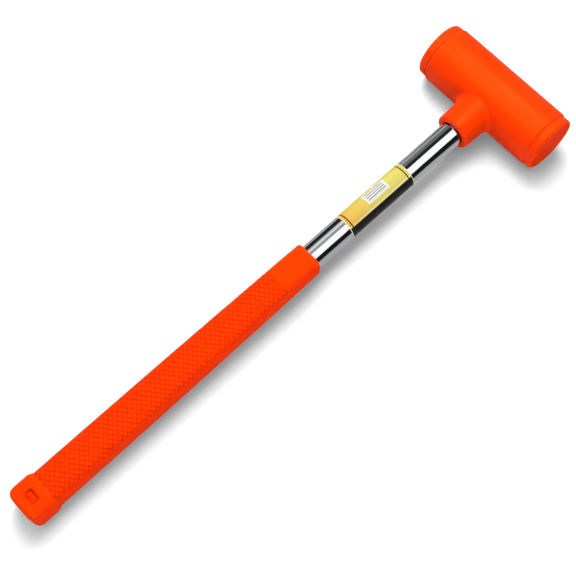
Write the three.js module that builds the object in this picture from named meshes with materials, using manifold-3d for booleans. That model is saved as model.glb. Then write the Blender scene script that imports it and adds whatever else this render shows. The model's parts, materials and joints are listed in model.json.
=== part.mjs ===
// Dead blow sledgehammer, lying on its side on a floor.
// A moulded head holds a steel canister with a loose charge of steel shot. A plated steel tube
// runs from a socket on the canister to the butt, and carries a label and a moulded grip.
// Millimetres, +Z up. X is the head's axis and the handle runs towards -Y. The origin is on the
// floor, under the middle of the whole tool.

import * as THREE from 'three';
import { mergeVertices } from 'three/addons/utils/BufferGeometryUtils.js';
import Module from 'manifold-3d';

// Fits: what is pressed, welded or moulded together lies this far apart
const FIT_GAP = 0.3;

// Head casing: a straight barrel, with a strike cap plugged into each end
const HEAD_DIAMETER = 76.2;
const HEAD_LENGTH = 190.5;
const CASING_WALL = 7.8;
const BARREL_EDGE_RADIUS = 1;
const CAP_BAND = 11.5;
const CAP_SHOULDER = 1.4;
const CAP_PLUG_DEPTH = 14;
const CAP_PLUG_CHAMFER = 1.5;
const CAP_SEAM_CHAMFER = 0.6;
const FACE_EDGE_RADIUS = 5;

// Neck of the casing, blended into the barrel
const NECK_LENGTH = 36;
const NECK_WALL = 4.8;
const NECK_TAPER = 0.9;
const NECK_FILLET_RADIUS = 8;
const NECK_FILLET_SINK = 0.2;
const NECK_LIP_RADIUS = 2.6;
const LIP_COVER = 11;
const LIP_GAP = 0.9;
const LIP_COUNTERSINK = 1;

// Canister and its charge: rings of six balls about a seventh, layer behind layer
const CANISTER_WALL = 2.6;
const CANISTER_END_FLANGE = 2.5;
const CANISTER_END_SPIGOT = 3.5;
const SHOT_GAP = 0.3;
const SHOT_FILL = 0.75;

// Socket on the canister, and the pin that holds the handle in it
const SOCKET_WALL = 2.6;
const PIN_DIAMETER = 6;
const PIN_FROM_SOCKET_END = 14;
const PIN_END_INSET = 0.5;

// Handle tube and its label, as bare and covered lengths from the neck to the grip
const TUBE_DIAMETER = 31.75;
const TUBE_WALL = 2;
const BARE_BEFORE_LABEL = 82.3;
const LABEL_LENGTH = 102;
const LABEL_THICKNESS = 0.3;
const BARE_AFTER_LABEL = 57;

// Grip: a rounded square that swells from the collar to the butt
const GRIP_LENGTH = 398;
const COLLAR_SIDE_WALL = 2.6;
const COLLAR_TOP_WALL = 2;
const COLLAR_EDGE_LENGTH = 4;
const BUTT_SIDE_WALL = 4.9;
const BUTT_TOP_WALL = 3.8;
const GRIP_CORNER_RADIUS = 9;

// Butt pad over the end of the tube, with a shallow pocket in its top
const PAD_LENGTH = 35.6;
const PAD_STEP = 1.9;
const PAD_SHOULDER_LENGTH = 4.5;
const PAD_CORNER_RADIUS = 7;
const PAD_END_SIDE_RADIUS = 11;
const PAD_END_TOP_RADIUS = 4;
const PAD_END_WALL = 4;
const POCKET_WIDTH = 14;
const POCKET_LENGTH = 8;
const POCKET_DEPTH = 2;
const POCKET_FROM_END = 18.5;

// Plug in the open end of the tube
const PLUG_LENGTH = 18;
const PLUG_FLANGE = 3;
const PLUG_BORE_WALL = 2.5;

// Fineness of the round forms
const HEAD_SEGMENTS = 60;
const NECK_SEGMENTS = 48;
const TUBE_SEGMENTS = 48;
const PIN_SEGMENTS = 20;
const CORNER_POINTS = 8;
const EDGE_STEPS = 4;
const FILLET_STEPS = 6;
const GRIP_STEPS = 10;
const BALL_DETAIL = 1;

// Sizes that follow from those above, across the head
const headRadius = HEAD_DIAMETER / 2;
const seamPlace = HEAD_LENGTH / 2 - CAP_BAND;
const capRadius = headRadius - CAP_SHOULDER;
const canisterRadius = headRadius - CASING_WALL - FIT_GAP;
const canisterBore = canisterRadius - CANISTER_WALL;
const canisterHalf = seamPlace - CAP_PLUG_DEPTH;
const canisterTubeHalf = canisterHalf - CANISTER_END_FLANGE - FIT_GAP;
const chamberHalf = canisterTubeHalf - CANISTER_END_SPIGOT;

// The charge: three balls span the canister's bore
const ballRadius = (canisterBore - 2 * SHOT_GAP) / 3;
const ballPitch = 2 * ballRadius + SHOT_GAP;
const shotLayers = Math.floor(2 * chamberHalf * SHOT_FILL / ballPitch);

// Sizes across the handle
const tubeRadius = TUBE_DIAMETER / 2;
const socketBore = tubeRadius + FIT_GAP;
const socketRadius = socketBore + SOCKET_WALL;
const neckBore = socketRadius + FIT_GAP;
const lipRadius = neckBore + NECK_WALL;
const neckRootRadius = lipRadius + NECK_TAPER;
const sleeveBore = tubeRadius + FIT_GAP;
const collarWidth = 2 * (sleeveBore + COLLAR_SIDE_WALL);
const collarDepth = 2 * (sleeveBore + COLLAR_TOP_WALL);
const buttWidth = 2 * (sleeveBore + BUTT_SIDE_WALL);
const buttDepth = 2 * (sleeveBore + BUTT_TOP_WALL);
const padWidth = buttWidth + 2 * PAD_STEP;
const padDepth = buttDepth + 2 * PAD_STEP;

// Places along the handle, measured from the head's axis towards the butt
const lipPlace = headRadius + NECK_LENGTH;
const socketEnd = lipPlace - LIP_COVER;
const tubeStart = canisterRadius + FIT_GAP;
const pinPlace = socketEnd - PIN_FROM_SOCKET_END;
const labelStart = lipPlace + BARE_BEFORE_LABEL;
const labelEnd = labelStart + LABEL_LENGTH;
const gripStart = labelEnd + BARE_AFTER_LABEL;
const gripEnd = gripStart + GRIP_LENGTH;
const padStart = gripEnd + FIT_GAP;
const padEnd = padStart + PAD_LENGTH;
const padBottom = padEnd - PAD_END_WALL;
const plugEnd = padBottom - FIT_GAP;
const tubeEnd = plugEnd - PLUG_FLANGE - FIT_GAP;

const wasm = await Module();
wasm.setup();

// A closed solid for joining and cutting, from a geometry whose shared corners are merged.
function toSolid(geometry) {
  const bare = new THREE.BufferGeometry();
  bare.setAttribute('position', geometry.getAttribute('position'));
  bare.setIndex(geometry.getIndex());
  const merged = mergeVertices(bare);
  const vertProperties = new Float32Array(merged.getAttribute('position').array);
  const triVerts = new Uint32Array(merged.getIndex().array);
  return new wasm.Manifold(new wasm.Mesh({ numProp: 3, vertProperties, triVerts }));
}

function toGeometry(solid) {
  const { vertProperties, triVerts } = solid.getMesh();
  const geometry = new THREE.BufferGeometry();
  geometry.setAttribute('position', new THREE.BufferAttribute(vertProperties, 3));
  geometry.setIndex(new THREE.BufferAttribute(triVerts, 1));
  return geometry;
}

// Turns an outline of [radius, place] pairs, which climbs on its outer side, about the Y axis.
function revolve(outline, segments) {
  const points = outline.map(([radius, place]) => new THREE.Vector2(radius, place));
  return new THREE.LatheGeometry(points, segments);
}

// The same about the head's axis, with places counted towards +X.
function revolveHead(outline, segments = HEAD_SEGMENTS) {
  return revolve(outline, segments).rotateZ(-Math.PI / 2);
}

// The same about the handle, with places counted from the head's axis towards the butt.
function revolveHandle(outline) {
  const turned = outline.map(([radius, place]) => [radius, -place]);
  return revolve(turned.reverse(), TUBE_SEGMENTS);
}

function ringOutline(innerRadius, outerRadius, start, end) {
  return [
    [innerRadius, start],
    [outerRadius, start],
    [outerRadius, end],
    [innerRadius, end],
    [innerRadius, start],
  ];
}

function rodOutline(radius, start, end) {
  return [
    [0, start],
    [radius, start],
    [radius, end],
    [0, end],
  ];
}

// Points of a quarter round from a flat end to a side, as how far each lies in and back.
function quarterRound(radius) {
  const points = [];
  for (let step = 0; step <= EDGE_STEPS; step++) {
    const angle = step / EDGE_STEPS * Math.PI / 2;
    points.push({ inset: radius * (1 - Math.sin(angle)), back: radius * (1 - Math.cos(angle)) });
  }
  return points;
}

// Skins sections that follow each other towards the butt. A looped skin closes on its first
// section, and any other is closed at both ends by a fan about the section's middle.
function loft(sections, looped = false) {
  const count = sections[0].length;
  const positions = sections.flat().flatMap((point) => point.toArray());
  const index = [];
  const joins = looped ? sections.length : sections.length - 1;
  for (let row = 0; row < joins; row++) {
    const here = row * count;
    const there = (row + 1) % sections.length * count;
    for (let column = 0; column < count; column++) {
      const next = (column + 1) % count;
      index.push(here + column, here + next, there + next);
      index.push(here + column, there + next, there + column);
    }
  }
  const addFan = (row, facesHead) => {
    const middle = sections[row].reduce((sum, point) => sum.add(point), new THREE.Vector3());
    const hub = positions.length / 3;
    positions.push(...middle.divideScalar(count).toArray());
    for (let column = 0; column < count; column++) {
      const a = row * count + column;
      const b = row * count + (column + 1) % count;
      index.push(hub, facesHead ? b : a, facesHead ? a : b);
    }
  };
  if (!looped) {
    addFan(0, true);
    addFan(sections.length - 1, false);
  }
  const geometry = new THREE.BufferGeometry();
  geometry.setAttribute('position', new THREE.Float32BufferAttribute(positions, 3));
  geometry.setIndex(index);
  return geometry;
}

// A rounded rectangle across the handle.
function squareSection(width, depth, corner, place) {
  const points = [];
  for (let index = 0; index < 4 * CORNER_POINTS; index++) {
    const quarter = Math.floor(index / CORNER_POINTS);
    const share = index % CORNER_POINTS / (CORNER_POINTS - 1);
    const angle = (quarter + share) * Math.PI / 2;
    const middle = (quarter + 0.5) * Math.PI / 2;
    const cornerX = Math.sign(Math.cos(middle)) * (width / 2 - corner);
    const cornerZ = Math.sign(Math.sin(middle)) * (depth / 2 - corner);
    const x = cornerX + corner * Math.cos(angle);
    const z = cornerZ + corner * Math.sin(angle);
    points.push(new THREE.Vector3(x, -place, z));
  }
  return points;
}

// A circle with as many points as the rounded rectangle.
function roundSection(radius, place) {
  const points = [];
  for (let index = 0; index < 4 * CORNER_POINTS; index++) {
    const angle = (index + 0.5) / CORNER_POINTS * Math.PI / 2;
    points.push(new THREE.Vector3(radius * Math.cos(angle), -place, radius * Math.sin(angle)));
  }
  return points;
}

const hammer = new THREE.Group();

function addPiece(name, geometry, color, roughness, metalness) {
  const material = new THREE.MeshStandardMaterial({ color, roughness, metalness });
  const mesh = new THREE.Mesh(geometry, material);
  mesh.name = name;
  hammer.add(mesh);
  return mesh;
}

const addMoulded = (name, geometry) => addPiece(name, geometry, 0xff4a08, 0.42, 0);
const addSteel = (name, geometry) => addPiece(name, geometry, 0x8c8f93, 0.45, 1);

// The fillet between barrel and neck, as the skin of a ball that rolls round the neck and rests on
// both. On each spoke out of the handle's axis the ball's middle lies its radius off both surfaces,
// and the arc swings from the barrel's normal there to the neck's as share goes from 0 to 1.
function filletPoint(spoke, share) {
  const reach = headRadius - NECK_FILLET_SINK + NECK_FILLET_RADIUS;
  const middle = spoke.clone().multiplyScalar(neckRootRadius + NECK_FILLET_RADIUS);
  middle.y = -Math.sqrt(reach ** 2 - middle.z ** 2);
  const barrelNormal = new THREE.Vector3(0, middle.y, middle.z).normalize();
  const swing = barrelNormal.angleTo(spoke);
  const normal = barrelNormal.multiplyScalar(Math.sin((1 - share) * swing) / Math.sin(swing));
  normal.addScaledVector(spoke, Math.sin(share * swing) / Math.sin(swing));
  return middle.addScaledVector(normal, -NECK_FILLET_RADIUS);
}

// The neck's outer skin: from inside the barrel over the fillet, along the taper and round the lip.
function neckSkin() {
  const rows = [];
  const addRow = (pointAt) => {
    const row = [];
    for (let column = 0; column < NECK_SEGMENTS; column++) {
      const around = column / NECK_SEGMENTS * 2 * Math.PI;
      row.push(pointAt(new THREE.Vector3(Math.cos(around), 0, Math.sin(around))));
    }
    rows.push(row);
  };
  const addRing = (radius, place) => addRow((spoke) => spoke.multiplyScalar(radius).setY(-place));
  addRing(neckBore, 0);
  for (let step = 0; step <= FILLET_STEPS; step++) {
    addRow((spoke) => filletPoint(spoke, step / FILLET_STEPS));
  }
  for (const { inset, back } of quarterRound(NECK_LIP_RADIUS).reverse()) {
    addRing(lipRadius - inset, lipPlace - back);
  }
  return loft(rows);
}

// Head casing: barrel and neck in one moulding, bored for the canister, the socket and the tube.
function headCasing() {
  const edge = quarterRound(BARREL_EDGE_RADIUS);
  const barrel = revolveHead([
    [0, -seamPlace],
    ...edge.map(({ inset, back }) => [headRadius - inset, back - seamPlace]),
    ...edge.reverse().map(({ inset, back }) => [headRadius - inset, seamPlace - back]),
    [0, seamPlace],
  ]);
  const holeHalf = HEAD_LENGTH / 2;
  const canisterHole = revolveHead(rodOutline(canisterRadius + FIT_GAP, -holeHalf, holeHalf));
  const socketHole = revolveHandle(rodOutline(neckBore, 0, socketEnd + FIT_GAP));
  const lipHole = tubeRadius + LIP_GAP;
  const tubeHole = revolveHandle([
    [0, socketEnd - FIT_GAP],
    [lipHole, socketEnd - FIT_GAP],
    [lipHole, lipPlace - LIP_COUNTERSINK],
    [lipHole + 2 * LIP_COUNTERSINK, lipPlace + LIP_COUNTERSINK],
    [0, lipPlace + LIP_COUNTERSINK],
  ]);
  const moulding = toSolid(barrel).add(toSolid(neckSkin()));
  const holes = toSolid(canisterHole).add(toSolid(socketHole)).add(toSolid(tubeHole));
  return toGeometry(moulding.subtract(holes));
}

addMoulded('head_casing', headCasing());

// Strike caps: a flat face with a rounded edge, a band set in from the barrel, and a plug that
// reaches to the canister.
function strikeCap() {
  const plugRadius = canisterRadius;
  const plugStart = canisterHalf + FIT_GAP;
  const bandStart = seamPlace + FIT_GAP;
  const face = HEAD_LENGTH / 2;
  return revolveHead([
    [0, plugStart],
    [plugRadius - CAP_PLUG_CHAMFER, plugStart],
    [plugRadius, plugStart + CAP_PLUG_CHAMFER],
    [plugRadius, bandStart],
    [capRadius - CAP_SEAM_CHAMFER, bandStart],
    [capRadius, bandStart + CAP_SEAM_CHAMFER],
    ...quarterRound(FACE_EDGE_RADIUS).reverse().map(({ inset, back }) => [capRadius - inset, face - back]),
    [0, face],
  ]);
}

addMoulded('strike_cap_right', strikeCap());
addMoulded('strike_cap_left', strikeCap().rotateZ(Math.PI));

// Canister: a plain steel tube, with a flanged disc welded into each end.
const canisterTube = ringOutline(canisterBore, canisterRadius, -canisterTubeHalf, canisterTubeHalf);
addSteel('canister_tube', revolveHead(canisterTube));

function canisterEnd() {
  const spigotRadius = canisterBore - FIT_GAP;
  const flangeStart = canisterTubeHalf + FIT_GAP;
  return revolveHead([
    [0, chamberHalf],
    [spigotRadius, chamberHalf],
    [spigotRadius, flangeStart],
    [canisterRadius, flangeStart],
    [canisterRadius, canisterHalf],
    [0, canisterHalf],
  ]);
}

addSteel('canister_end_right', canisterEnd());
addSteel('canister_end_left', canisterEnd().rotateZ(Math.PI));

// Shot: loose steel balls that slide along the canister as one charge. In each layer six balls
// fit round a seventh, and every second layer is turned by half a step.
function addShot() {
  const ringCount = 6;
  let number = 1;
  for (let layer = 0; layer < shotLayers; layer++) {
    const x = (layer - (shotLayers - 1) / 2) * ballPitch;
    for (let ball = 0; ball <= ringCount; ball++) {
      const around = (ball + layer % 2 / 2) / ringCount * 2 * Math.PI;
      const reach = ball < ringCount ? ballPitch : 0;
      const shape = new THREE.IcosahedronGeometry(ballRadius, BALL_DETAIL);
      const mesh = addSteel(`shot_ball_${String(number).padStart(2, '0')}`, shape);
      mesh.position.set(x, reach * Math.cos(around), reach * Math.sin(around));
      number++;
    }
  }
}

addShot();

// Socket: a steel sleeve cut to a saddle that sits on the canister, cross-drilled for the pin.
const pinHoleShape = revolveHead(rodOutline(PIN_DIAMETER / 2 + FIT_GAP, -lipRadius, lipRadius), PIN_SEGMENTS);
const pinHole = toSolid(pinHoleShape.translate(0, -pinPlace, 0));
const saddle = toSolid(revolveHead(rodOutline(canisterRadius + FIT_GAP, -canisterHalf, canisterHalf)));
const socketSleeve = toSolid(revolveHandle(ringOutline(socketBore, socketRadius, 0, socketEnd)));
addSteel('handle_socket', toGeometry(socketSleeve.subtract(saddle.add(pinHole))));

// Pin: a plain rod through the socket and the tube, along the head's axis.
const pinHalf = socketRadius - PIN_END_INSET;
const pin = revolveHead(rodOutline(PIN_DIAMETER / 2, -pinHalf, pinHalf), PIN_SEGMENTS);
addSteel('socket_pin', pin.translate(0, -pinPlace, 0));

// Handle: one length of plated steel tube, from the canister to the butt, drilled for the pin.
const tubeBore = tubeRadius - TUBE_WALL;
const tube = toSolid(revolveHandle(ringOutline(tubeBore, tubeRadius, tubeStart, tubeEnd)));
addPiece('handle_tube', toGeometry(tube.subtract(pinHole)), 0xd9dcdf, 0.1, 1);

// Label: a printed film wrapped once round the tube.
const labelBore = tubeRadius + FIT_GAP;
const label = ringOutline(labelBore, labelBore + LABEL_THICKNESS, labelStart, labelEnd);
addPiece('label_sleeve', revolveHandle(label), 0xd2c04e, 0.35, 0);

// Grip: swells from the collar to the butt along a parabola. The collar's edge is rounded over
// half of its thinner wall.
function gripSleeve() {
  const outerSection = (place, inset) => {
    const share = (gripEnd - place) / GRIP_LENGTH;
    const width = THREE.MathUtils.lerp(buttWidth, collarWidth, share ** 2);
    const depth = THREE.MathUtils.lerp(buttDepth, collarDepth, share ** 2);
    return squareSection(width - 2 * inset, depth - 2 * inset, GRIP_CORNER_RADIUS - inset, place);
  };
  const edgeInset = Math.min(COLLAR_SIDE_WALL, COLLAR_TOP_WALL) / 2;
  const sections = quarterRound(1).map(({ inset, back }) => {
    return outerSection(gripStart + back * COLLAR_EDGE_LENGTH, inset * edgeInset);
  });
  const straight = GRIP_LENGTH - COLLAR_EDGE_LENGTH;
  for (let step = 1; step <= GRIP_STEPS; step++) {
    sections.push(outerSection(gripStart + COLLAR_EDGE_LENGTH + step / GRIP_STEPS * straight, 0));
  }
  sections.push(roundSection(sleeveBore, gripEnd));
  sections.push(roundSection(sleeveBore, gripStart));
  return loft(sections, true);
}

addMoulded('grip_sleeve', gripSleeve());

// Butt pad: a closed cap that stands proud of the grip all round, with a blind pocket on top. A
// rounded shoulder rises from the grip. The end is rounded more at the sides than above and below,
// with sections where either round has a point.
function buttPad() {
  const outerSection = (place, sideInset, topInset) => {
    return squareSection(padWidth - 2 * sideInset, padDepth - 2 * topInset, PAD_CORNER_RADIUS, place);
  };
  const shoulder = quarterRound(1).map(({ inset, back }) => {
    return outerSection(padStart + back * PAD_SHOULDER_LENGTH, inset * PAD_STEP, inset * PAD_STEP);
  });
  const endInset = (radius, back) => radius - Math.sqrt(radius ** 2 - Math.max(radius - back, 0) ** 2);
  const endRadii = [PAD_END_SIDE_RADIUS, PAD_END_TOP_RADIUS];
  const endBacks = new Set(endRadii.flatMap((radius) => quarterRound(radius).map(({ back }) => back)));
  const end = [...endBacks].sort((a, b) => b - a).map((back) => {
    return outerSection(padEnd - back, ...endRadii.map((radius) => endInset(radius, back)));
  });
  const sections = [
    roundSection(sleeveBore, padBottom),
    roundSection(sleeveBore, padStart),
    ...shoulder,
    ...end,
  ];
  const pocket = new THREE.BoxGeometry(POCKET_WIDTH, POCKET_LENGTH, 2 * POCKET_DEPTH);
  pocket.translate(0, POCKET_FROM_END - padEnd, padDepth / 2);
  return toGeometry(toSolid(loft(sections)).subtract(toSolid(pocket)));
}

addMoulded('butt_pad', buttPad());

// Tube plug: a hollow flanged stopper that closes the tube at the butt.
const plugRadius = tubeBore - FIT_GAP;
const plugStart = tubeEnd - PLUG_LENGTH;
const flangeStart = tubeEnd + FIT_GAP;
const tubePlug = revolveHandle([
  [0, flangeStart],
  [plugRadius - PLUG_BORE_WALL, flangeStart],
  [plugRadius - PLUG_BORE_WALL, plugStart],
  [plugRadius, plugStart],
  [plugRadius, flangeStart],
  [tubeRadius, flangeStart],
  [tubeRadius, plugEnd],
  [0, plugEnd],
]);
addPiece('tube_plug', tubePlug, 0x1c1c1e, 0.6, 0);

// At rest the tool lies on the barrel and on the butt pad's lower edge, so the handle slopes
// down to the butt by a degree or so.
const edgePlace = padEnd - PAD_END_TOP_RADIUS;
const edgeReach = Math.hypot(edgePlace, padDepth / 2);
hammer.rotation.x = Math.asin(headRadius / edgeReach) - Math.atan2(padDepth / 2, edgePlace);

const tool = new THREE.Group();
tool.add(hammer);
const box = new THREE.Box3().setFromObject(tool, true);
const centre = box.getCenter(new THREE.Vector3());
hammer.position.set(-centre.x, -centre.y, -box.min.z);

export default tool;
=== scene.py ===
import json
import math

import bmesh
import bpy
import numpy as np
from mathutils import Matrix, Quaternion, Vector

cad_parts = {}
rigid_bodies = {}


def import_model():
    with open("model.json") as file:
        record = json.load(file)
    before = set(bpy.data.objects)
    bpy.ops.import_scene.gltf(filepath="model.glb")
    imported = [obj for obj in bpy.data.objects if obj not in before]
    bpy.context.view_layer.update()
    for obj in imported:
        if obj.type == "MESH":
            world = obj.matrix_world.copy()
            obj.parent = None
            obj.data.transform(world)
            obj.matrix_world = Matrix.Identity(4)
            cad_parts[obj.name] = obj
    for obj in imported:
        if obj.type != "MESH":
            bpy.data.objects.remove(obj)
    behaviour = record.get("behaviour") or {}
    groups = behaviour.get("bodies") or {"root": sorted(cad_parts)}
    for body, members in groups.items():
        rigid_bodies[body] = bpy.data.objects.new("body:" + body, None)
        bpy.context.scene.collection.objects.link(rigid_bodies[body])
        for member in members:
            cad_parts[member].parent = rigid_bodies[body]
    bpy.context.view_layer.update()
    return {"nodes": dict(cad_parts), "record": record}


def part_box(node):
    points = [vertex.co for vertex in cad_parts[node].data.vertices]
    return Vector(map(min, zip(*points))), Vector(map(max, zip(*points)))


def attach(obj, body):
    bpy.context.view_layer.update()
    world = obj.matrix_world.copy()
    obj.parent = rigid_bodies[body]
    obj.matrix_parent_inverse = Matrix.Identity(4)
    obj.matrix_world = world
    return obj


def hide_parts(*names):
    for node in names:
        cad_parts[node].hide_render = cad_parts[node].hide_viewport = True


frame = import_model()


# Canister: a plain steel tube with a flanged disc welded into each end.
# It closes round the shot before the head is moulded over it, so it keeps its dull rolled skin.

def new_material(name):
    """A material with one Principled shader: the material, its node tree and that shader."""
    material = bpy.data.materials.new(name)
    material.use_nodes = True
    return material, material.node_tree, material.node_tree.nodes["Principled BSDF"]


def add_node(tree, kind, inputs=(), **properties):
    """A node with its properties set and its inputs filled: a socket is linked, a value is set."""
    node = tree.nodes.new(kind)
    for name, value in properties.items():
        setattr(node, name, value)
    for key, value in dict(inputs).items():
        if isinstance(value, bpy.types.NodeSocket):
            tree.links.new(value, node.inputs[key])
        else:
            node.inputs[key].default_value = value
    return node


def noise(tree, grains, detail=3.0, stretch=(1, 1, 1)):
    """Noise from 0 to 1 on Object coordinates, with so many grains to the metre. The coordinates are first
    multiplied by stretch, so grains draw out along a direction whose share is small."""
    place = add_node(tree, "ShaderNodeTexCoord").outputs["Object"]
    turned = add_node(tree, "ShaderNodeMapping", {"Vector": place, "Scale": stretch}).outputs[0]
    inputs = {"Vector": turned, "Scale": grains, "Detail": detail}
    return add_node(tree, "ShaderNodeTexNoise", inputs).outputs["Fac"]


def spread(tree, value, low, high, to_low=0.0, to_high=1.0):
    """Carries the stretch from low to high of a value over to another stretch, with soft ends."""
    inputs = {"Value": value, 1: low, 2: high, 3: to_low, 4: to_high}
    node = add_node(tree, "ShaderNodeMapRange", inputs, interpolation_type="SMOOTHSTEP")
    return node.outputs["Result"]


def blend_colours(tree, share, first, second):
    """The first colour where share is 0, and the second where it is 1."""
    return add_node(tree, "ShaderNodeMix", {0: share, 6: first, 7: second}, data_type="RGBA").outputs[2]


def raise_surface(tree, height, depth, under=None):
    """A bump of that depth in metres from a height between 0 and 1, on top of another bump if given."""
    inputs = {"Height": height, "Distance": depth, "Strength": 1.0}
    if under is not None:
        inputs["Normal"] = under
    return add_node(tree, "ShaderNodeBump", inputs).outputs["Normal"]


def rolled_steel(name, bright, dull, roughness):
    """Bare steel: clouds mix a bright and a dull grey and roughen it, and drawn-out grain is the bump."""
    material, tree, surface = new_material(name)
    clouds = spread(tree, noise(tree, 55, 5.0), 0.35, 0.65)
    grain = noise(tree, 700, 3.0, (0.08, 1, 1))
    tree.links.new(blend_colours(tree, clouds, bright, dull), surface.inputs["Base Color"])
    rough = spread(tree, clouds, 0.0, 1.0, roughness, roughness + 0.18)
    tree.links.new(rough, surface.inputs["Roughness"])
    tree.links.new(raise_surface(tree, grain, 0.00006), surface.inputs["Normal"])
    surface.inputs["Metallic"].default_value = 1.0
    return material


canister_steel = rolled_steel("canister_steel", (0.46, 0.47, 0.49, 1), (0.24, 0.23, 0.23, 1), 0.34)
for node in ("canister_tube", "canister_end_right", "canister_end_left"):
    frame["nodes"][node].material_slots[0].material = canister_steel


# Shot: loose steel balls that slide to and fro in the canister and make the blow dead.
# Each one is rolled bright and true, with a light haze where it has rubbed on its neighbours.

def sew(name, grids, marks=(), sharp_angle=40):
    """One closed mesh from grids of points, given as (points, goes all round). Quads join neighbours in a
    grid, the last column meets the first where it goes all round, and points that coincide are merged.
    Marks are named values, one for each point of the grids in turn."""
    corners = []
    first = 0
    for points, goes_round in grids:
        rows, columns = points.shape[:2]
        row = np.arange(rows - 1)[:, None] * columns
        column = np.arange(columns if goes_round else columns - 1)[None, :]
        beside = (column + 1) % columns
        quad = (row + column, row + beside, row + columns + beside, row + columns + column)
        corners.append(first + np.stack(np.broadcast_arrays(*quad), axis=-1).reshape(-1, 4))
        first += rows * columns
    places = np.concatenate([points.reshape(-1, 3) for points, _ in grids]).astype(np.float32)
    faces = np.concatenate(corners).astype(np.int32)
    mesh = bpy.data.meshes.new(name)
    mesh.vertices.add(len(places))
    mesh.vertices.foreach_set("co", places.ravel())
    mesh.loops.add(faces.size)
    mesh.loops.foreach_set("vertex_index", faces.ravel())
    mesh.polygons.add(len(faces))
    mesh.polygons.foreach_set("loop_start", np.arange(0, faces.size, 4, dtype=np.int32))
    mesh.update(calc_edges=True)
    for mark, values in dict(marks).items():
        layer = mesh.attributes.new(mark, "FLOAT", "POINT")
        layer.data.foreach_set("value", np.asarray(values, np.float32).ravel())
    shell = bmesh.new()
    shell.from_mesh(mesh)
    bmesh.ops.remove_doubles(shell, verts=shell.verts, dist=1e-6)
    bmesh.ops.recalc_face_normals(shell, faces=shell.faces)
    shell.to_mesh(mesh)
    shell.free()
    mesh.shade_smooth()
    mesh.set_sharp_from_angle(angle=math.radians(sharp_angle))
    piece = bpy.data.objects.new(name, mesh)
    bpy.context.scene.collection.objects.link(piece)
    return piece


def settle(piece, material, slot, body, *nodes):
    """Gives a piece its material and puts it on a body in the place of CAD nodes; the slot is not used.
    The piece throws no light of its own colour on the floor, so its shadow stays grey."""
    piece.data.materials.append(material)
    piece.visible_diffuse = False
    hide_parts(*nodes)
    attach(piece, body)


def ball_skin(middle, radius, rings=14, columns=28):
    """A sphere: at each fall from the pole, a circle of radius sin(fall) lies cos(fall) above the middle."""
    fall = np.linspace(0, np.pi, rings)[:, None]
    turn = np.linspace(0, 2 * np.pi, columns, endpoint=False)[None, :]
    steps = (np.sin(fall) * np.cos(turn), np.sin(fall) * np.sin(turn), np.cos(fall) + 0 * turn)
    return middle + radius * np.stack(steps, axis=-1)


shot_steel = rolled_steel("shot_steel", (0.62, 0.63, 0.65, 1), (0.43, 0.43, 0.44, 1), 0.16)
for node in frame["record"]["behaviour"]["bodies"]["shot_charge"]:
    low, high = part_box(node)
    middle = np.array((low + high) / 2)
    ball = sew(node.replace("shot_ball", "rolled_ball"), [(ball_skin(middle, (high.x - low.x) / 2), True)])
    settle(ball, shot_steel, "shot_steel", "shot_charge", node)


# Socket and pin: a steel sleeve with a saddle end, welded on the canister, takes the handle.
# A plain drawn pin crosses the sleeve and the tube and keeps them together.

pin_steel = rolled_steel("pin_steel", (0.55, 0.56, 0.58, 1), (0.38, 0.38, 0.39, 1), 0.25)
frame["nodes"]["handle_socket"].material_slots[0].material = canister_steel
frame["nodes"]["socket_pin"].material_slots[0].material = pin_steel


# Handle tube: one length of steel tube, polished and bright plated.
# It runs from the canister to the butt, and shows between the neck, the label and the grip.

def unit(vector):
    """The vector divided by its length."""
    return np.array(vector) / np.linalg.norm(vector)


mounts = {mount["name"]: mount for mount in frame["record"]["mounts"]}
across = np.array((1.0, 0.0, 0.0))
along = unit(mounts["butt_face"]["axis"])
upward = np.cross(along, across)
cap_low, cap_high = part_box("strike_cap_right")
head_middle = np.array((cap_low + cap_high) / 2) * (0, 1, 1)


def placed(x, place, height):
    """Points in the tool's own directions: x along the head's axis, place from that axis along the handle
    to the butt, and height out of the plane of the two."""
    x, place, height = np.broadcast_arrays(x, place, height)
    return head_middle + x[..., None] * across + place[..., None] * along + height[..., None] * upward


def span(node, direction):
    """How far a CAD node reaches from the head's middle in a direction, at least and at most."""
    vertices = frame["nodes"][node].data.vertices
    flat = np.empty(3 * len(vertices), np.float32)
    vertices.foreach_get("co", flat)
    reach = (flat.reshape(-1, 3) - head_middle) @ direction
    return float(reach.min()), float(reach.max())


def handle_lathe(places, radii, columns=144):
    """A profile of places and radii turned about the handle: each point goes round a circle across it."""
    turn = np.linspace(0, 2 * np.pi, columns, endpoint=False)[None, :]
    places, radii = np.asarray(places)[:, None], np.asarray(radii)[:, None]
    return placed(radii * np.sin(turn), places, radii * np.cos(turn))


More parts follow.
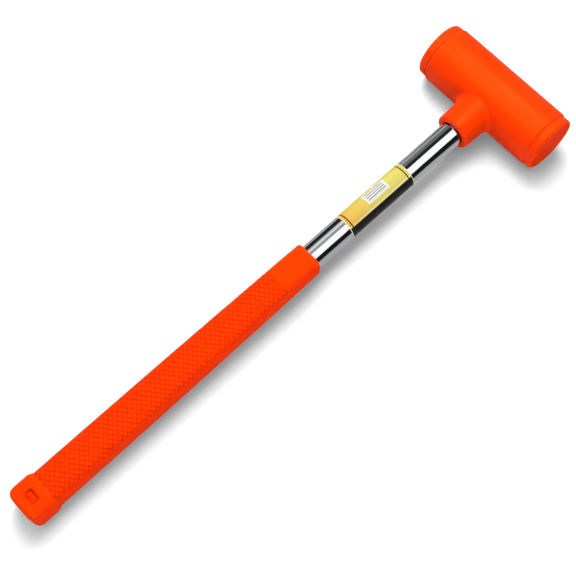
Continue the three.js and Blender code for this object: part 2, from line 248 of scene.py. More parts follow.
def bright_plate():
    """Bright plating: a mirror metal whose roughness drifts a little, over faint polishing lines that run
    along the tube and a slow waviness of the drawn steel. The dot product with the handle's direction
    tells how far a point lies from the neck's mouth, where painted shade darkens the metal."""
    material, tree, surface = new_material("bright_plate")
    haze = spread(tree, noise(tree, 30, 6.0), 0.3, 0.75, 0.035, 0.085)
    tint = blend_colours(tree, noise(tree, 14), (0.80, 0.81, 0.83, 1), (0.72, 0.73, 0.75, 1))
    waves = raise_surface(tree, noise(tree, 18, 1.0, (1, 0.25, 1)), 0.00012)
    lines = raise_surface(tree, noise(tree, 2600, 2.0, (1, 0.01, 1)), 0.000004, waves)
    spot = add_node(tree, "ShaderNodeTexCoord").outputs["Object"]
    run = add_node(tree, "ShaderNodeVectorMath", {0: spot, 1: along}, operation="DOT_PRODUCT")
    # Painted shade: the metal goes grey from the neck's mouth out over a short band, then fades.
    mouth = head_middle @ along + lip_place
    unshaded = spread(tree, run.outputs["Value"], mouth + mouth_shade_length, mouth + mouth_shade_length + mouth_shade_fade)
    tree.links.new(blend_colours(tree, unshaded, mouth_shade_grey, tint), surface.inputs["Base Color"])
    tree.links.new(haze, surface.inputs["Roughness"])
    tree.links.new(lines, surface.inputs["Normal"])
    surface.inputs["Metallic"].default_value = 1.0
    return material


tube_radius = span("handle_tube", across)[1]
tube_start, tube_end = span("handle_tube", along)
lip_place = span("head_casing", along)[1]
tube_wall = 0.002
tube_edge = 0.0004
tube_rows = 60
bore_radius = tube_radius - tube_wall
edge_radius = tube_radius - tube_edge
# Painted shade on the tube by the neck's mouth: how far it stays full, how far it fades, and its grey.
mouth_shade_length = 0.0014
mouth_shade_fade = 0.0030
mouth_shade_grey = (0.15, 0.14, 0.14, 1)
tube_run = np.linspace(tube_start + tube_edge, tube_end - tube_edge, tube_rows)
tube_places = [tube_start, tube_start, *tube_run, tube_end, tube_end, tube_start]
tube_radii = [bore_radius, edge_radius, *[tube_radius] * tube_rows, edge_radius, bore_radius, bore_radius]
plated_tube = sew("plated_tube", [(handle_lathe(tube_places, tube_radii), True)])
settle(plated_tube, bright_plate(), "tube_chrome", "hammer", "handle_tube")


# Head casing: barrel and neck in one tough moulding of orange plastic, cast round the canister.
# The neck runs into the barrel over a rolled fillet, and its round lip closes on the tube.

fit_gap = 0.0003
barrel_radius = span("head_casing", upward)[1]
seam_place = span("head_casing", across)[1]
socket_end = span("handle_socket", along)[1] + fit_gap
canister_hole = span("canister_tube", upward)[1] + fit_gap
socket_hole = span("handle_socket", across)[1] + fit_gap
neck_wall = 0.0048
neck_taper = 0.0009
lip_radius = socket_hole + neck_wall
neck_root_radius = lip_radius + neck_taper
neck_fillet = 0.008
lip_round = 0.0026
lip_gap = 0.0002
lip_hole = tube_radius + lip_gap
lip_bevel = 0.0004
ring_width = 0.0001
cap_radius = span("strike_cap_right", upward)[1]
rim_length = 0.003
# Painted shade at the foot of the right and the left rim, where they meet the caps.
right_rim_shade = 0.4
left_rim_shade = 1.4


def arc(start, end, count):
    """Cosines and sines of evenly spaced angles, given in degrees."""
    angle = np.radians(np.linspace(start, end, count))
    return np.cos(angle), np.sin(angle)


def smooth_step(value, low, high):
    """0 below low, 1 above high, and a smooth S between them."""
    share = np.clip((value - low) / (high - low), 0, 1)
    return share * share * (3 - 2 * share)


def casing_skin():
    """Barrel and neck as one grid whose columns stand round the neck like spokes. Unrolled, the barrel is a
    rectangle: x runs along it and turn round it, from the neck's side. A column starts on the rectangle's
    edge and runs straight to the fillet. The fillet is a ball of its radius that touches barrel and neck:
    its middle lies on both surfaces moved out by that radius, and the arc swings from the one normal to
    the other. Then come the neck, the lip and the bores, and the column ends on the inner rectangle's
    edge. Two lathed rims close the ends: each falls to the cap's radius on a smooth S. The mark groove is
    painted shade: it is 1 from the narrow ring at the hole inwards, in the gap round the tube, and rises
    at the foot of a rim, by the seam, in proportion to that rim's shade. The mark edge is 1 on the lip and
    the upper part of the rims."""
    turn_columns, x_columns = 144, 72
    barrel_rows, fillet_rows, neck_rows, lip_rows, inner_rows, rim_rows = 44, 15, 8, 10, 16, 10
    side = np.linspace(-1, 1, turn_columns, endpoint=False)
    flat = np.linspace(-1, 1, x_columns, endpoint=False)
    edge_x = np.concatenate([0 * side + 1, -flat, 0 * side - 1, flat])
    edge_turn = np.pi * np.concatenate([side, 0 * flat + 1, -side, 0 * flat - 1])
    around = np.arctan2(edge_turn * barrel_radius, edge_x * seam_place)
    cosine, sine = np.cos(around), np.sin(around)

    def rolled(share, radius, half, foot_x, foot_turn):
        """A row on a barrel of that radius: the share of the way from the rectangle's edge to the foot."""
        turn = edge_turn + share * (foot_turn - edge_turn)
        x = edge_x * half + share * (foot_x - edge_x * half)
        return x, radius * np.cos(turn), radius * np.sin(turn)

    def ring(radius, place):
        """A circle of that radius about the handle, at a place along it."""
        return radius * cosine, place + 0 * cosine, radius * sine

    ball_x = (neck_root_radius + neck_fillet) * cosine
    ball_height = (neck_root_radius + neck_fillet) * sine
    ball_reach = barrel_radius + neck_fillet
    ball_place = np.sqrt(ball_reach ** 2 - ball_height ** 2)
    foot_turn = np.arctan2(ball_height, ball_place)
    opening = np.arccos(sine * ball_height / ball_reach)

    def fillet(share):
        """A row of the fillet: the ball's middle less its radius times a normal that has swung by that share
        of the opening. Each end's normal counts by the sine of the angle to the other end."""
        from_barrel = np.sin((1 - share) * opening) / np.sin(opening)
        from_neck = np.sin(share * opening) / np.sin(opening)
        x = ball_x - neck_fillet * from_neck * cosine
        place = ball_place - neck_fillet * from_barrel * ball_place / ball_reach
        height = ball_height - neck_fillet * (from_barrel * ball_height / ball_reach + from_neck * sine)
        return x, place, height

    outer = [rolled(s, barrel_radius, seam_place - rim_length, ball_x, foot_turn)
             for s in np.linspace(0, 1, barrel_rows, endpoint=False)]
    blend = [fillet(s) for s in np.linspace(0, 1, fillet_rows)]
    neck_end = lip_place - lip_round
    narrowing = lip_radius - neck_root_radius
    neck = [ring(neck_root_radius + s * narrowing, ball_place + s * (neck_end - ball_place))
            for s in np.linspace(0, 1, neck_rows)[1:]]
    lip = [ring(lip_radius - lip_round * (1 - c), neck_end + lip_round * s)
           for c, s in zip(*arc(0, 90, lip_rows))][1:]
    hole_end = np.sqrt(canister_hole ** 2 - (socket_hole * sine) ** 2)
    face = [ring(lip_hole + lip_bevel + s * ring_width, lip_place) for s in (2, 1)]
    bores = [ring(lip_hole + lip_bevel, lip_place), ring(lip_hole, lip_place - lip_bevel),
             ring(lip_hole, socket_end), ring(socket_hole, socket_end), ring(socket_hole, hole_end)]
    inner_turn = np.arctan2(socket_hole * sine, hole_end)
    inner = [rolled(s, canister_hole, seam_place, socket_hole * cosine, inner_turn)
             for s in np.linspace(1, 0, inner_rows)[1:]]
    skin = np.stack([placed(*row) for row in [*outer, *blend, *neck, *lip, *face, *bores, *inner]])
    smooth_rows = len(outer) + len(blend) + len(neck)
    edge_rows = np.array([0] * smooth_rows + [1] * len(lip) + [0] * (len(face) + len(bores) + len(inner)))
    # Painted shade in the gap round the tube: 1 from the narrow ring at the hole down the bores.
    shade_rows = np.array([0] * (smooth_rows + len(lip) + 1) + [1] * (1 + len(bores)) + [0] * len(inner))
    turn = np.pi * side[None, :]
    fall = np.linspace(0, 1, rim_rows)[:, None]
    rim_radius = barrel_radius + smooth_step(fall, 0, 1) * (cap_radius - barrel_radius)
    rim_radius = np.concatenate([rim_radius, [[canister_hole]]])
    rim_x = np.concatenate([seam_place - rim_length * (1 - fall), [[seam_place]]])
    rims = [placed(sign * rim_x, rim_radius * np.cos(turn), rim_radius * np.sin(turn)) for sign in (1, -1)]
    rim_edges = np.array([0] + [1] * 4 + [0] * 6)
    # Painted shade rising at the foot of a rim, by the seam.
    rim_shade_rows = np.array([0] * 7 + [0.3, 0.5, 0.5, 0])
    edges = [np.repeat(edge_rows, len(around)), *[np.repeat(rim_edges, len(side))] * 2]
    shades = (right_rim_shade, left_rim_shade)
    shaded_rims = [np.repeat(shade * rim_shade_rows, len(side)) for shade in shades]
    grooves = [np.repeat(shade_rows, len(around)), *shaded_rims]
    marks = {"edge": np.concatenate(edges), "groove": np.concatenate(grooves)}
    return [(skin, True), (rims[0], True), (rims[1], True)], marks


def combine(tree, operation, first, second):
    """One number from two by a Math node, such as their product or the larger of them."""
    return add_node(tree, "ShaderNodeMath", {0: first, 1: second}, operation=operation).outputs[0]


def orange_moulding(name, lit, deep, rubbed, roughness, shine):
    """Moulded orange plastic: slow clouds drift from the lit colour a little towards the deep one. The deep
    colour is also painted shade where the mark groove says, and the mark edge brings out the rubbed colour.
    A fine grain over slow sinks is the bump, and a cloudy gloss is the roughness. The shine takes the
    plastic's own tint."""
    material, tree, surface = new_material(name)
    groove = add_node(tree, "ShaderNodeAttribute", attribute_name="groove").outputs["Fac"]
    edge = add_node(tree, "ShaderNodeAttribute", attribute_name="edge").outputs["Fac"]
    drift = spread(tree, noise(tree, 16, 4.0), 0.3, 0.8, 0.0, 0.05)
    uneven = spread(tree, noise(tree, 260, 4.0), 0.3, 0.7, 0.5, 1.0)
    # Painted shade: the mark groove, made uneven, darkens the colour towards the deep one.
    shaded = combine(tree, "MAXIMUM", drift, combine(tree, "MULTIPLY", groove, uneven))
    scuffs = spread(tree, noise(tree, 190, 6.0), 0.5, 0.72)
    worn = combine(tree, "MULTIPLY", edge, scuffs)
    body = blend_colours(tree, shaded, lit, deep)
    tree.links.new(blend_colours(tree, worn, body, rubbed), surface.inputs["Base Color"])
    gloss = spread(tree, noise(tree, 70, 5.0), 0.3, 0.7, roughness - 0.05, roughness + 0.07)
    tree.links.new(gloss, surface.inputs["Roughness"])
    sinks = raise_surface(tree, noise(tree, 45, 2.0), 0.00012)
    tree.links.new(raise_surface(tree, noise(tree, 1500, 3.0), 0.00003, sinks), surface.inputs["Normal"])
    surface.inputs["Specular IOR Level"].default_value = shine
    surface.inputs["Specular Tint"].default_value = (1.0, 0.34, 0.03, 1)
    return material


casing_grids, casing_marks = casing_skin()
# The head's deep colour, near black, is the painted shade in its seams and round the tube.
head_orange = orange_moulding(
    "head_orange", lit=(1.0, 0.040, 0.0005, 1), deep=(0.10, 0.008, 0.003, 1),
    rubbed=(1.0, 0.073, 0.005, 1), roughness=0.42, shine=0.12)
moulded_casing = sew("moulded_casing", casing_grids, casing_marks)
settle(moulded_casing, head_orange, "head_moulding", "hammer", "head_casing")


# Strike caps: the two ends of the barrel, moulded as discs with a plug that is welded into the casing.
# The band is a little smaller than the barrel, so a seam shows, and the face has a rounded edge.

plug_start, face_place = span("strike_cap_right", across)
plug_radius = canister_hole - fit_gap
plug_bevel = 0.0015
seam_bevel = 0.0002
seam_width = 0.0012
face_round = 0.0044


def cap_skin(side, shade):
    """The cap's profile turned about the head's axis: up the plug, out along the seam, over the band, round
    a quarter circle and in across the face. Side is 1 for the right end and -1 for the left one, and
    shade is how much painted shade darkens the seam."""
    round_rows, face_rows, columns = 16, 14, 144
    round_in, round_out = arc(0, 90, round_rows)
    face_radii = np.linspace(cap_radius - face_round, 0, face_rows)[1:]
    plug_places = [plug_start, plug_start, plug_start + plug_bevel, seam_place]
    plug_radii = [0, plug_radius - plug_bevel, plug_radius, plug_radius]
    seam_places = [seam_place, seam_place + seam_bevel]
    seam_radii = [cap_radius - seam_bevel, cap_radius]
    round_places = face_place - face_round + face_round * round_out
    round_radii = cap_radius - face_round + face_round * round_in
    face_places = 0 * face_radii + face_place
    places = [*plug_places, *seam_places, seam_place + seam_width, *round_places, *face_places]
    radii = [*plug_radii, *seam_radii, cap_radius, *round_radii, *face_radii]
    turn = np.linspace(0, 2 * np.pi, columns, endpoint=False)[None, :]
    places, radii = np.array(places)[:, None], np.array(radii)[:, None]
    skin = placed(side * places, radii * np.cos(turn), radii * np.sin(turn))
    shade_rows, edge_rows = np.zeros((2, len(places)))
    seam_row = len(plug_places)
    round_row = seam_row + len(seam_places) + 1
    # Painted shade along the seam's bevel.
    shade_rows[seam_row:seam_row + len(seam_places)] = shade
    edge_rows[round_row:round_row + round_rows] = 1
    marks = {"groove": np.repeat(shade_rows, columns), "edge": np.repeat(edge_rows, columns)}
    return [(skin, True)], marks


# The left seam gets painted shade, the right one none.
for end, side, shade in (("right", 1, 0.0), ("left", -1, 0.7)):
    cap_grids, cap_marks = cap_skin(side, shade)
    moulded_cap = sew(f"moulded_cap_{end}", cap_grids, cap_marks)
    settle(moulded_cap, head_orange, "head_moulding", "hammer", f"strike_cap_{end}")


# Label: a printed film wrapped once round the tube, with its end lapped over its start underneath.
# The print is plain: a yellow ground, a black stripe, a ruled panel and pale ends.

label_start, label_end = span("label_sleeve", along)
label_length = label_end - label_start
film_gap = 0.00005
film_radius = tube_radius + film_gap
film_thickness = 0.00025
lap_share = 0.06
lap_power = 0.25


def film_skin(columns=240, rows=40):
    """The film as a closed wrap: the outer face runs from head to grip and the inner face back. Round the
    tube, from the seam below, the radius is even. Over the lap it climbs by the film's thickness, as a
    power of the way that is steep at first."""
    share = np.arange(columns) / columns
    turn = 2 * np.pi * share - np.pi
    lift = film_thickness * np.clip((share - 1 + lap_share) / lap_share, 0, 1) ** lap_power
    step = np.linspace(0, 1, rows)
    steps = np.concatenate([step, step[::-1], [0]])[:, None]
    outside = np.concatenate([0 * step + 1, 0 * step, [1]])[:, None]
    radius = film_radius + lift[None, :] + outside * film_thickness
    skin = placed(radius * np.sin(turn), label_start + steps * label_length, radius * np.cos(turn))
    marks = {"print_along": steps * label_length + 0 * turn, "print_round": tube_radius * turn + 0 * steps}
    return [(skin, True)], marks


def printed_film():
    """The print is laid out in metres by the marks print_along, from the head's end, and print_round, from
    the top. Each figure is a window, which is 1 between two values, or a product of two windows."""
    material, tree, surface = new_material("printed_film")
    down = add_node(tree, "ShaderNodeAttribute", attribute_name="print_along").outputs["Fac"]
    round_tube = add_node(tree, "ShaderNodeAttribute", attribute_name="print_round").outputs["Fac"]

    def window(value, low, high, blur=0.00015):
        """1 between low and high, with blurred ends: one rise less a later one."""
        rise = spread(tree, value, low - blur, low + blur)
        return combine(tree, "SUBTRACT", rise, spread(tree, value, high - blur, high + blur))

    def box(low_along, high_along, low_round, high_round):
        """1 in a rectangle of the film: a window along the tube times a window round it."""
        sides = window(down, low_along, high_along), window(round_tube, low_round, high_round)
        return combine(tree, "MULTIPLY", *sides)

    yellow, amber, olive = (0.56, 0.49, 0.11, 1), (0.62, 0.36, 0.06, 1), (0.48, 0.38, 0.06, 1)
    black, rule_grey, dust = (0.012, 0.011, 0.010, 1), (0.10, 0.10, 0.10, 1), (0.42, 0.36, 0.14, 1)
    cream, panel_white, end_cream = (0.75, 0.71, 0.48, 1), (0.62, 0.62, 0.60, 1), (0.74, 0.72, 0.58, 1)
    band_start, band_end, end_width = 0.0040, 0.0056, 0.0007
    rule_pitch, rule_gap = 0.0032, 0.62
    colour = blend_colours(tree, spread(tree, down, 0.040, 0.102), yellow, amber)
    colour = blend_colours(tree, spread(tree, round_tube, -0.018, -0.004), olive, colour)
    colour = blend_colours(tree, window(round_tube, 0.0092, 0.0102), colour, cream)
    colour = blend_colours(tree, window(round_tube, 0.0112, 0.034), colour, black)
    colour = blend_colours(tree, box(0.030, 0.064, -0.0125, 0.0035), colour, panel_white)
    way_between_rules = combine(tree, "FRACT", combine(tree, "DIVIDE", round_tube, rule_pitch), 0.0)
    rules = combine(tree, "GREATER_THAN", way_between_rules, rule_gap)
    rules = combine(tree, "MULTIPLY", rules, box(0.0325, 0.0615, -0.0112, 0.0022))
    colour = blend_colours(tree, rules, colour, rule_grey)
    for low, high in ((band_start, band_end), (label_length - band_end, label_length - band_start)):
        colour = blend_colours(tree, window(down, low, high), colour, black)
    ends = combine(tree, "SUBTRACT", 1.0, window(down, end_width, label_length - end_width))
    colour = blend_colours(tree, ends, colour, end_cream)
    specks = spread(tree, noise(tree, 2400, 2.0), 0.62, 0.8, 0.0, 0.25)
    colour = blend_colours(tree, specks, colour, dust)
    tree.links.new(colour, surface.inputs["Base Color"])
    gloss = spread(tree, noise(tree, 60, 4.0), 0.3, 0.7, 0.20, 0.30)
    tree.links.new(gloss, surface.inputs["Roughness"])
    tree.links.new(raise_surface(tree, noise(tree, 130, 2.0), 0.00006), surface.inputs["Normal"])
    surface.inputs["Specular IOR Level"].default_value = 0.12
    return material


film_grids, film_marks = film_skin()
label_wrap = sew("label_wrap", film_grids, film_marks)
settle(label_wrap, printed_film(), "label_film", "hammer", "label_sleeve")


# Grip: a soft orange sleeve moulded on the tube, a rounded square that swells towards the butt.
# Its collar is plain. Behind it the upper and lower faces are chequered with crossing grooves, which die
# out over the corners where the mould draws off sideways.

grip_start = span("grip_sleeve", along)[0]
grip_end = span("butt_pad", along)[0]
butt_half_width = span("grip_sleeve", across)[1]
butt_half_depth = span("grip_sleeve", upward)[1]
sleeve_bore = tube_radius + fit_gap
collar_side_wall = 0.0026
collar_top_wall = 0.0020
collar_half_width = sleeve_bore + collar_side_wall
collar_half_depth = sleeve_bore + collar_top_wall
grip_corner = 0.009
collar_edge_length = 0.004
collar_edge_inset = 0.001
collar_length = 0.052
chequer_start = grip_start + collar_length
chequer_margin = 0.008
groove_pitch = 0.00535
groove_angle = math.radians(39.4)
groove_depth = 0.0008
groove_half_width = 0.0010
# Painted shade in the grooves: this share of the deep colour, and full by the pad.
groove_shade = 0.85
corner_fade = (0.05, 0.8)
end_step = 0.0003
end_step_insets = (0.0001, 0.0004)


def square_outline(top_shares, corner_steps, side_steps):
    """Points round a rounded square, each as a share of the way to the corners' middles in x and height,
    and the outward normal there. The right side comes first, then the top, the left and the bottom."""
    side_shares = np.linspace(-1, 1, side_steps)
    quarter_turn = np.array(((0, 1), (-1, 0)))
    middles, normals = [], []
    for quarter, shares in enumerate((side_shares, -top_shares, side_shares, -top_shares)):
        turn = np.linalg.matrix_power(quarter_turn, quarter)
        face = np.stack([0 * shares + 1, shares if quarter % 2 == 0 else -shares], axis=-1)
        bend = np.stack(arc(0, 90, corner_steps + 2), axis=-1)[1:-1]
        middles += [face @ turn, np.ones((corner_steps, 2)) @ turn]
        normals += [np.tile((1, 0), (len(shares), 1)) @ turn, bend @ turn]
    return np.concatenate(middles).T, np.concatenate(normals).T


def chequer(place, round_top, upright):
    """How deep the grooves are, from 0 to 1. Two sets of parallel lines cross the handle at plus and minus
    the groove angle, and depth falls off on both sides of a line. A groove is there only where the
    diamond behind it lies past the start, so the field begins in a zigzag. Upright is the normal's
    share out of the handle's plane, and fades the field over the corners."""
    forth = (place * math.cos(groove_angle) + round_top * math.sin(groove_angle)) / groove_pitch
    back = (place * math.cos(groove_angle) - round_top * math.sin(groove_angle)) / groove_pitch
    first = chequer_start * 2 * math.cos(groove_angle) / groove_pitch
    depth = 0
    for line, other in ((forth, back), (back, forth)):
        gap = np.abs(line - np.round(line)) * groove_pitch
        there = np.round(line) + np.floor(other) + 1 >= first
        depth = np.maximum(depth, there * (1 - smooth_step(gap, 0, groove_half_width)))
    return depth * smooth_step(upright, *corner_fade)


def grip_skin():
    """Rounded squares along the handle. Half width and depth follow the square of the way from butt to
    collar. The collar's edge is drawn in on a quarter circle and the grooves are cut along the normal.
    Both ends close on the bore. The mark groove is painted shade in the grooves: it follows their depth,
    full by the pad and a little less elsewhere. The mark edge is 1 where the ends are drawn in."""
    top_columns, corner_columns, side_columns = 42, 16, 6
    edge_rows, plain_rows, field_rows = 8, 12, 566
    outline = square_outline(np.linspace(-1, 1, top_columns), corner_columns, side_columns)
    (middle_x, middle_height), (normal_x, normal_height) = outline
    edge_back, edge_in = arc(90, 0, edge_rows)
    edge_places = grip_start + collar_edge_length * (1 - edge_in)
    edge_insets = collar_edge_inset * (1 - edge_back)
    plain_end = chequer_start - chequer_margin
    plain_places = np.linspace(edge_places[-1], plain_end, plain_rows)[1:]
    field_places = np.linspace(plain_end, grip_end - 2 * end_step, field_rows)[1:]
    end_places = np.array([grip_end - end_step, grip_end])
    places = np.concatenate([edge_places, plain_places, field_places, end_places])[:, None]
    insets = np.concatenate([edge_insets, np.zeros(len(places) - len(edge_insets))])[:, None]
    insets[-2:, 0] = end_step_insets
    rise = ((grip_end - places) / (grip_end - grip_start)) ** 2
    half_width = butt_half_width + rise * (collar_half_width - butt_half_width)
    half_depth = butt_half_depth + rise * (collar_half_depth - butt_half_depth)
    flat_half = half_width - grip_corner
    round_top = middle_x * flat_half + grip_corner * np.arctan2(normal_x, np.abs(normal_height))
    grooves = chequer(places, round_top, np.abs(normal_height))
    reach = grip_corner - insets - groove_depth * grooves
    x = middle_x * flat_half + normal_x * reach
    height = middle_height * (half_depth - grip_corner) + normal_height * reach
    length = np.hypot(x, height)
    bore_x, bore_height = sleeve_bore * x / length, sleeve_bore * height / length
    front = placed(bore_x[:1], places[:1], bore_height[:1])
    back = placed(bore_x[-1:], places[-1:], bore_height[-1:])
    skin = np.concatenate([front, placed(x, places, height), back, front])
    blank = np.zeros((1, len(middle_x)))
    # Painted shade in the grooves, deepest where they run up to the pad.
    by_the_pad = smooth_step(places, grip_end - 0.004, grip_end - 0.001)
    painted_groove_shade = groove_shade + (1 - groove_shade) * by_the_pad
    shade_marks = np.concatenate([blank, painted_groove_shade * grooves, blank, blank])
    edge_marks = np.concatenate([[0], insets[:, 0] > 0, [0, 0]])
    return [(skin, True)], {"groove": shade_marks, "edge": np.repeat(edge_marks, len(middle_x))}


grip_grids, grip_marks = grip_skin()
# The grip's deep colour is the painted shade in its grooves and in the pad's pocket.
grip_orange = orange_moulding(
    "grip_orange", lit=(1.0, 0.0415, 0.0006, 1), deep=(0.65, 0.006, 0.001, 1),
    rubbed=(1.0, 0.08, 0.005, 1), roughness=0.60, shine=0.03)
moulded_grip = sew("moulded_grip", grip_grids, grip_marks)
settle(moulded_grip, grip_orange, "grip_moulding", "hammer", "grip_sleeve")


# Tube plug: a hollow stopper of black plastic, pressed into the open end of the tube.
# The butt pad covers it.

def plain_plastic(name, colour, pale):
    """Plain moulded plastic: two close colours in clouds, a cloudy gloss and a fine grain."""
    material, tree, surface = new_material(name)
    clouds = spread(tree, noise(tree, 80, 4.0), 0.35, 0.7)
    tree.links.new(blend_colours(tree, clouds, colour, pale), surface.inputs["Base Color"])
    tree.links.new(spread(tree, clouds, 0.0, 1.0, 0.5, 0.62), surface.inputs["Roughness"])
    tree.links.new(raise_surface(tree, noise(tree, 1400), 0.00003), surface.inputs["Normal"])
    return material


plug_black = plain_plastic("plug_black", (0.016, 0.016, 0.018, 1), (0.028, 0.028, 0.030, 1))
frame["nodes"]["tube_plug"].material_slots[0].material = plug_black


# Butt pad: a closed cap of the grip's plastic over the end of the tube, a little proud all round.
# Its edges are well rounded, and a shallow blind pocket is sunk in its upper face.

pad_start, pad_end = span("butt_pad", along)
pad_half_width = span("butt_pad", across)[1]
pad_half_depth = span("butt_pad", upward)[1]
pad_step = pad_half_width - butt_half_width
pad_shoulder = 0.0065
pad_corner = 0.007
pad_side_round = 0.0096
pad_top_round = 0.004
pad_floor = 0.004
pad_bottom = pad_end - pad_floor
pocket_half_width = 0.007
pocket_half_length = 0.004
pocket_depth = 0.002
pocket_wall = 0.0020
pocket_back = 0.0185
pocket_place = pad_end - pocket_back
# Painted shade in the pocket: a little on its floor, and a power that widens it on the walls.
pocket_floor_shade = 0.20
pocket_shade_power = 0.35


def fine_lines(low, high, pocket_low, pocket_high, count):
    """Grid lines from low to high: evenly spaced ones, and closer ones down the pocket's two walls."""
    wall = np.linspace(-pocket_wall, pocket_wall, 9)
    return np.unique(np.concatenate([np.linspace(low, high, count), pocket_low + wall, pocket_high + wall]))


def pad_skin():
    """Rounded squares along the handle, from the floor of the bore over the shoulder, a smooth S, along the
    side and round the end to the middle of its face. At the end the width and the depth are
    drawn in on quarter circles of their own. On the upper face a window in x and place lowers the
    points into the pocket. The mark groove is painted shade in the pocket: highest halfway up the
    window's slopes, as a power of 4 times the window times the rest, and low on the pocket's floor. The
    mark edge is 1 where the shoulder and the end are drawn in."""
    top_columns, corner_columns, side_columns = 31, 14, 19
    shoulder_rows, side_rows, round_rows, face_rows = 14, 24, 16, 8
    flat_half = pad_half_width - pad_corner
    top_lines = fine_lines(-flat_half, flat_half, -pocket_half_width, pocket_half_width, top_columns)
    outline = square_outline(top_lines / flat_half, corner_columns, side_columns)
    (middle_x, middle_height), (normal_x, normal_height) = outline
    shoulder_places = np.linspace(pad_start, pad_start + pad_shoulder, shoulder_rows)
    side_places = fine_lines(pad_start + pad_shoulder, pad_end - pad_side_round,
                             pocket_place - pocket_half_length, pocket_place + pocket_half_length, side_rows)
    fall = 1 - arc(0, 90, round_rows)[1]
    backs = np.unique([pad_side_round * fall, pad_top_round * fall])[::-1]
    places = np.concatenate([shoulder_places, side_places[1:-1], pad_end - backs])[:, None]
    shoulder_insets = pad_step * (1 - smooth_step(places, pad_start, pad_start + pad_shoulder))

    def end_insets(radius):
        """How far a quarter circle of that radius, which ends on the face, is drawn in at each place."""
        short = np.clip(radius - (pad_end - places), 0, radius)
        return radius - np.sqrt(radius ** 2 - short ** 2)

    insets = shoulder_insets + end_insets(pad_side_round)
    half_width = pad_half_width - insets - pad_corner
    half_depth = pad_half_depth - shoulder_insets - end_insets(pad_top_round) - pad_corner
    x = middle_x * half_width + normal_x * pad_corner
    height = middle_height * half_depth + normal_height * pad_corner
    inside_x = 1 - smooth_step(np.abs(x), pocket_half_width - pocket_wall, pocket_half_width + pocket_wall)
    off = np.abs(places - pocket_place)
    inside_y = 1 - smooth_step(off, pocket_half_length - pocket_wall, pocket_half_length + pocket_wall)
    inside = inside_x * inside_y
    on_top = normal_height > 0.99
    sunk = inside * on_top
    height = height - pocket_depth * sunk
    length = np.hypot(x[:1], height[:1])
    bore_x, bore_height = sleeve_bore * x[:1] / length, sleeve_bore * height[:1] / length
    inward = np.linspace(1, 0, face_rows)[1:, None]
    skin = np.concatenate([
        placed(0 * bore_x, pad_bottom, 0 * bore_x), placed(bore_x, pad_bottom, bore_height),
        placed(bore_x, pad_start, bore_height), placed(x, places, height),
        placed(inward * x[-1:], pad_end, inward * height[-1:])])
    blank = np.zeros((1, len(middle_x)))
    # Painted shade down the pocket's walls and on its floor.
    walls = (4 * inside * (1 - inside)) ** pocket_shade_power * on_top + pocket_floor_shade * sunk
    end_blanks = np.repeat(blank, len(inward), axis=0)
    shade_marks = np.concatenate([blank, blank, blank, np.minimum(walls, 1), end_blanks])
    edge_marks = np.concatenate([[0, 0, 0], insets[:, 0] > 0, [0] * len(inward)])
    return [(skin, True)], {"groove": shade_marks, "edge": np.repeat(edge_marks, len(middle_x))}


pad_grids, pad_marks = pad_skin()
moulded_pad = sew("moulded_pad", pad_grids, pad_marks)
settle(moulded_pad, grip_orange, "grip_moulding", "hammer", "butt_pad")


# Studio: a wide white floor under two soft lamps and a broad ceiling lamp, with two low lamps beside it.
# Only reflections see the bent screen of cards overhead. Some draw the bands on the plated tube, and the
# bright ones the soft highlights on the plastic. Floor and sky show white. Two sheets lie on the floor
# for the tube and the label alone: a dark one, and a grey one by the tool that paints its shadow into
# their reflections.

floor_half = 30.0
floor_white = (0.93, 0.93, 0.93, 1)
glow_start, glow_end = 0.7, 2.6
near_glow, far_glow = 0.15, 1.0


def seen_share(tree, whole):
    """The whole where a ray comes from the camera, a reflection or a see-through surface, otherwise 0."""
    path = add_node(tree, "ShaderNodeLightPath").outputs
    seen = combine(tree, "MAXIMUM", path["Is Camera Ray"], path["Is Glossy Ray"])
    seen = combine(tree, "MAXIMUM", seen, path["Is Transmission Ray"])
    return combine(tree, "MULTIPLY", seen, whole)


def white_floor():
    """Matt white that takes shadow. Rays that see it also see it glow: a little near the tool, and further
    out more, on a smooth S of the distance, so that open floor is white from any side."""
    material, tree, surface = new_material("white_floor")
    surface.inputs["Base Color"].default_value = floor_white
    surface.inputs["Roughness"].default_value = 1.0
    surface.inputs["Specular IOR Level"].default_value = 0.0
    surface.inputs["Emission Color"].default_value = (1, 1, 1, 1)
    place = add_node(tree, "ShaderNodeTexCoord").outputs["Object"]
    distance = add_node(tree, "ShaderNodeVectorMath", {0: place}, operation="LENGTH").outputs["Value"]
    glow = spread(tree, distance, glow_start, glow_end, near_glow, far_glow)
    tree.links.new(seen_share(tree, glow), surface.inputs["Emission Strength"])
    return material


def sheet_of(name, points, material):
    """An open sheet through a grid of points, which belongs to the studio and not to the tool."""
    rows, columns = points.shape[:2]
    index = np.arange(rows * columns).reshape(rows, columns)
    quads = np.stack([index[:-1, :-1], index[:-1, 1:], index[1:, 1:], index[1:, :-1]], axis=-1)
    mesh = bpy.data.meshes.new(name)
    mesh.from_pydata(points.reshape(-1, 3).tolist(), [], quads.reshape(-1, 4).tolist())
    mesh.materials.append(material)
    sheet = bpy.data.objects.new(name, mesh)
    bpy.context.scene.collection.objects.link(sheet)
    return sheet


floor_x, floor_y = np.meshgrid((-floor_half, floor_half), (-floor_half, floor_half))
sheet_of("floor", np.stack([floor_x, floor_y, 0 * floor_x], axis=-1), white_floor())

card_radius = 2.2
card_gap = 0.02
dim, bright = 0.02, 19.0
mirror_pieces = bpy.data.collections.new("mirror_pieces")
for piece in (plated_tube, label_wrap):
    mirror_pieces.objects.link(piece)
moulded_pieces = bpy.data.collections.new("moulded_pieces")
for piece in bpy.data.objects:
    if piece.name.startswith("moulded_"):
        moulded_pieces.objects.link(piece)


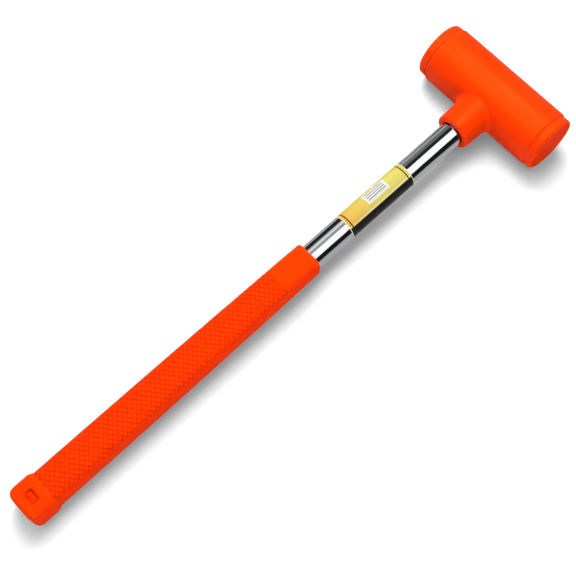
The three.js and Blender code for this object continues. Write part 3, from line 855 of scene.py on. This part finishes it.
def hide_card(name, points, brightness, seen_by=None):
    """A glowing card that only reflections see, either those in one group of pieces or all of them."""
    material, _, surface = new_material(name)
    surface.inputs["Base Color"].default_value = (0, 0, 0, 1)
    surface.inputs["Specular IOR Level"].default_value = 0.0
    surface.inputs["Emission Color"].default_value = (1, 1, 1, 1)
    surface.inputs["Emission Strength"].default_value = brightness
    card = sheet_of(name, points, material)
    card.visible_camera = False
    card.visible_diffuse = False
    card.visible_shadow = False
    if seen_by is not None:
        card.light_linking.receiver_collection = seen_by


def hang_cards(name, ends, angles, brightnesses, seen_by=None, radius=card_radius):
    """A row of cards bent round the handle's line, from one end in y to the other. Each lies between two
    neighbours in a list of angles, in degrees from straight up towards +X."""
    for number, brightness in enumerate(brightnesses):
        y = np.array(ends)[:, None]
        angle = np.radians(np.linspace(angles[number], angles[number + 1], 12))[None, :]
        points = np.broadcast_arrays(radius * np.sin(angle), y, radius * np.cos(angle))
        hide_card(f"{name}_{number + 1}", np.stack(points, axis=-1), brightness, seen_by)


hang_cards("butt_card", (-2.6, -0.9), (-90, 90), (dim,), mirror_pieces)
hang_cards("barrel_card", (-0.9, 0.36), (-90, -35, 5, 90), (dim, bright, dim))
hang_cards("grip_card", (0.36, 0.95), (-90, -52, -42, -20, 2, 53, 90),
           (dim, 0.28, 0.85, 0.36, 1.25, 0.01), mirror_pieces)
hang_cards("neck_card", (0.95, 1.37), (-90, -64, -33, -3, 53, 90),
           (0.42, 0.17, dim, 1.25, 0.01), mirror_pieces)
hang_cards("fillet_card", (1.37, 1.75), (-90, 0, 26, 90), (dim, bright, dim))
hang_cards("cap_card", (0.98, 1.30), (-11, -3), (240.0,), moulded_pieces, card_radius - card_gap)
for name, y, brightness in (("near_end_card", -2.6, dim), ("far_end_card", 1.75, 0.3)):
    angle, reach = np.meshgrid(np.radians(np.linspace(-90, 90, 24)), (0.0, card_radius))
    points = np.stack([reach * np.sin(angle), y + 0 * angle, reach * np.cos(angle)], axis=-1)
    hide_card(name, points, brightness)
# Sheets seen only in the tube and the label: dark all over, and grey by the tool, a painted reflection of
# the tool's shadow.
for name, high_x, high_y, height, brightness in (
        ("dark_floor_card", card_radius, card_radius, 0.0003, 0.05),
        ("grey_floor_card", 0.25, 0.33, 0.0005, 0.48)):
    x, y = np.meshgrid((-card_radius, high_x), (-card_radius, high_y))
    hide_card(name, np.stack([x, y, 0 * x + height], axis=-1), brightness, mirror_pieces)


def hang_lamp(name, shape, size, power, place):
    """A soft lamp turned to the tool. Reflections don't see it, and its light comes straight from it."""
    light = bpy.data.lights.new(name, "AREA")
    light.shape = shape
    light.size = size
    light.energy = power
    light.cycles.use_multiple_importance_sampling = False
    lamp = bpy.data.objects.new(name, light)
    lamp.location = place
    lamp.rotation_euler = (-lamp.location).to_track_quat("-Z", "Y").to_euler()
    lamp.visible_glossy = False
    bpy.context.scene.collection.objects.link(lamp)


hang_lamp("soft_lamp", "DISK", size=1.8, power=54.0, place=(-0.9, 0.9, 1.8))
hang_lamp("fill_lamp", "DISK", size=1.8, power=17.0, place=(-0.5, -0.1, 2.05))
hang_lamp("ceiling_lamp", "SQUARE", size=9.0, power=118.0, place=(0.0, 0.0, 5.0))
hang_lamp("side_lamp", "DISK", size=1.0, power=42.0, place=(3.3, -1.2, 0.42))
hang_lamp("front_lamp", "DISK", size=1.5, power=5.0, place=(-1.6, -2.4, 1.0))

sky = bpy.data.worlds.new("white_sky")
sky.use_nodes = True
sky_light = sky.node_tree.nodes["Background"]
sky_light.inputs["Color"].default_value = (1, 1, 1, 1)
sky.node_tree.links.new(seen_share(sky.node_tree, 1.0), sky_light.inputs["Strength"])
bpy.context.scene.world = sky
bpy.context.scene.view_settings.view_transform = "Standard"


# Camera: above and to the right of the tool, about 1.4 m away, with a short telephoto lens.
# It leans a little to one side, and the head lies at the upper right of a square picture.

camera = bpy.data.objects.new("camera", bpy.data.cameras.new("camera"))
camera.location = (0.3745, -0.3561, 1.3324)
look_at = Vector((0.0012, 0.0048, 0.0))
camera_roll = math.radians(0.87)
level = (look_at - camera.location).to_track_quat("-Z", "Y")
camera.rotation_euler = (level @ Quaternion((0, 0, 1), camera_roll)).to_euler()
camera.data.sensor_width = 36.0
camera.data.lens = 74.70
bpy.context.scene.collection.objects.link(camera)
bpy.context.scene.camera = camera
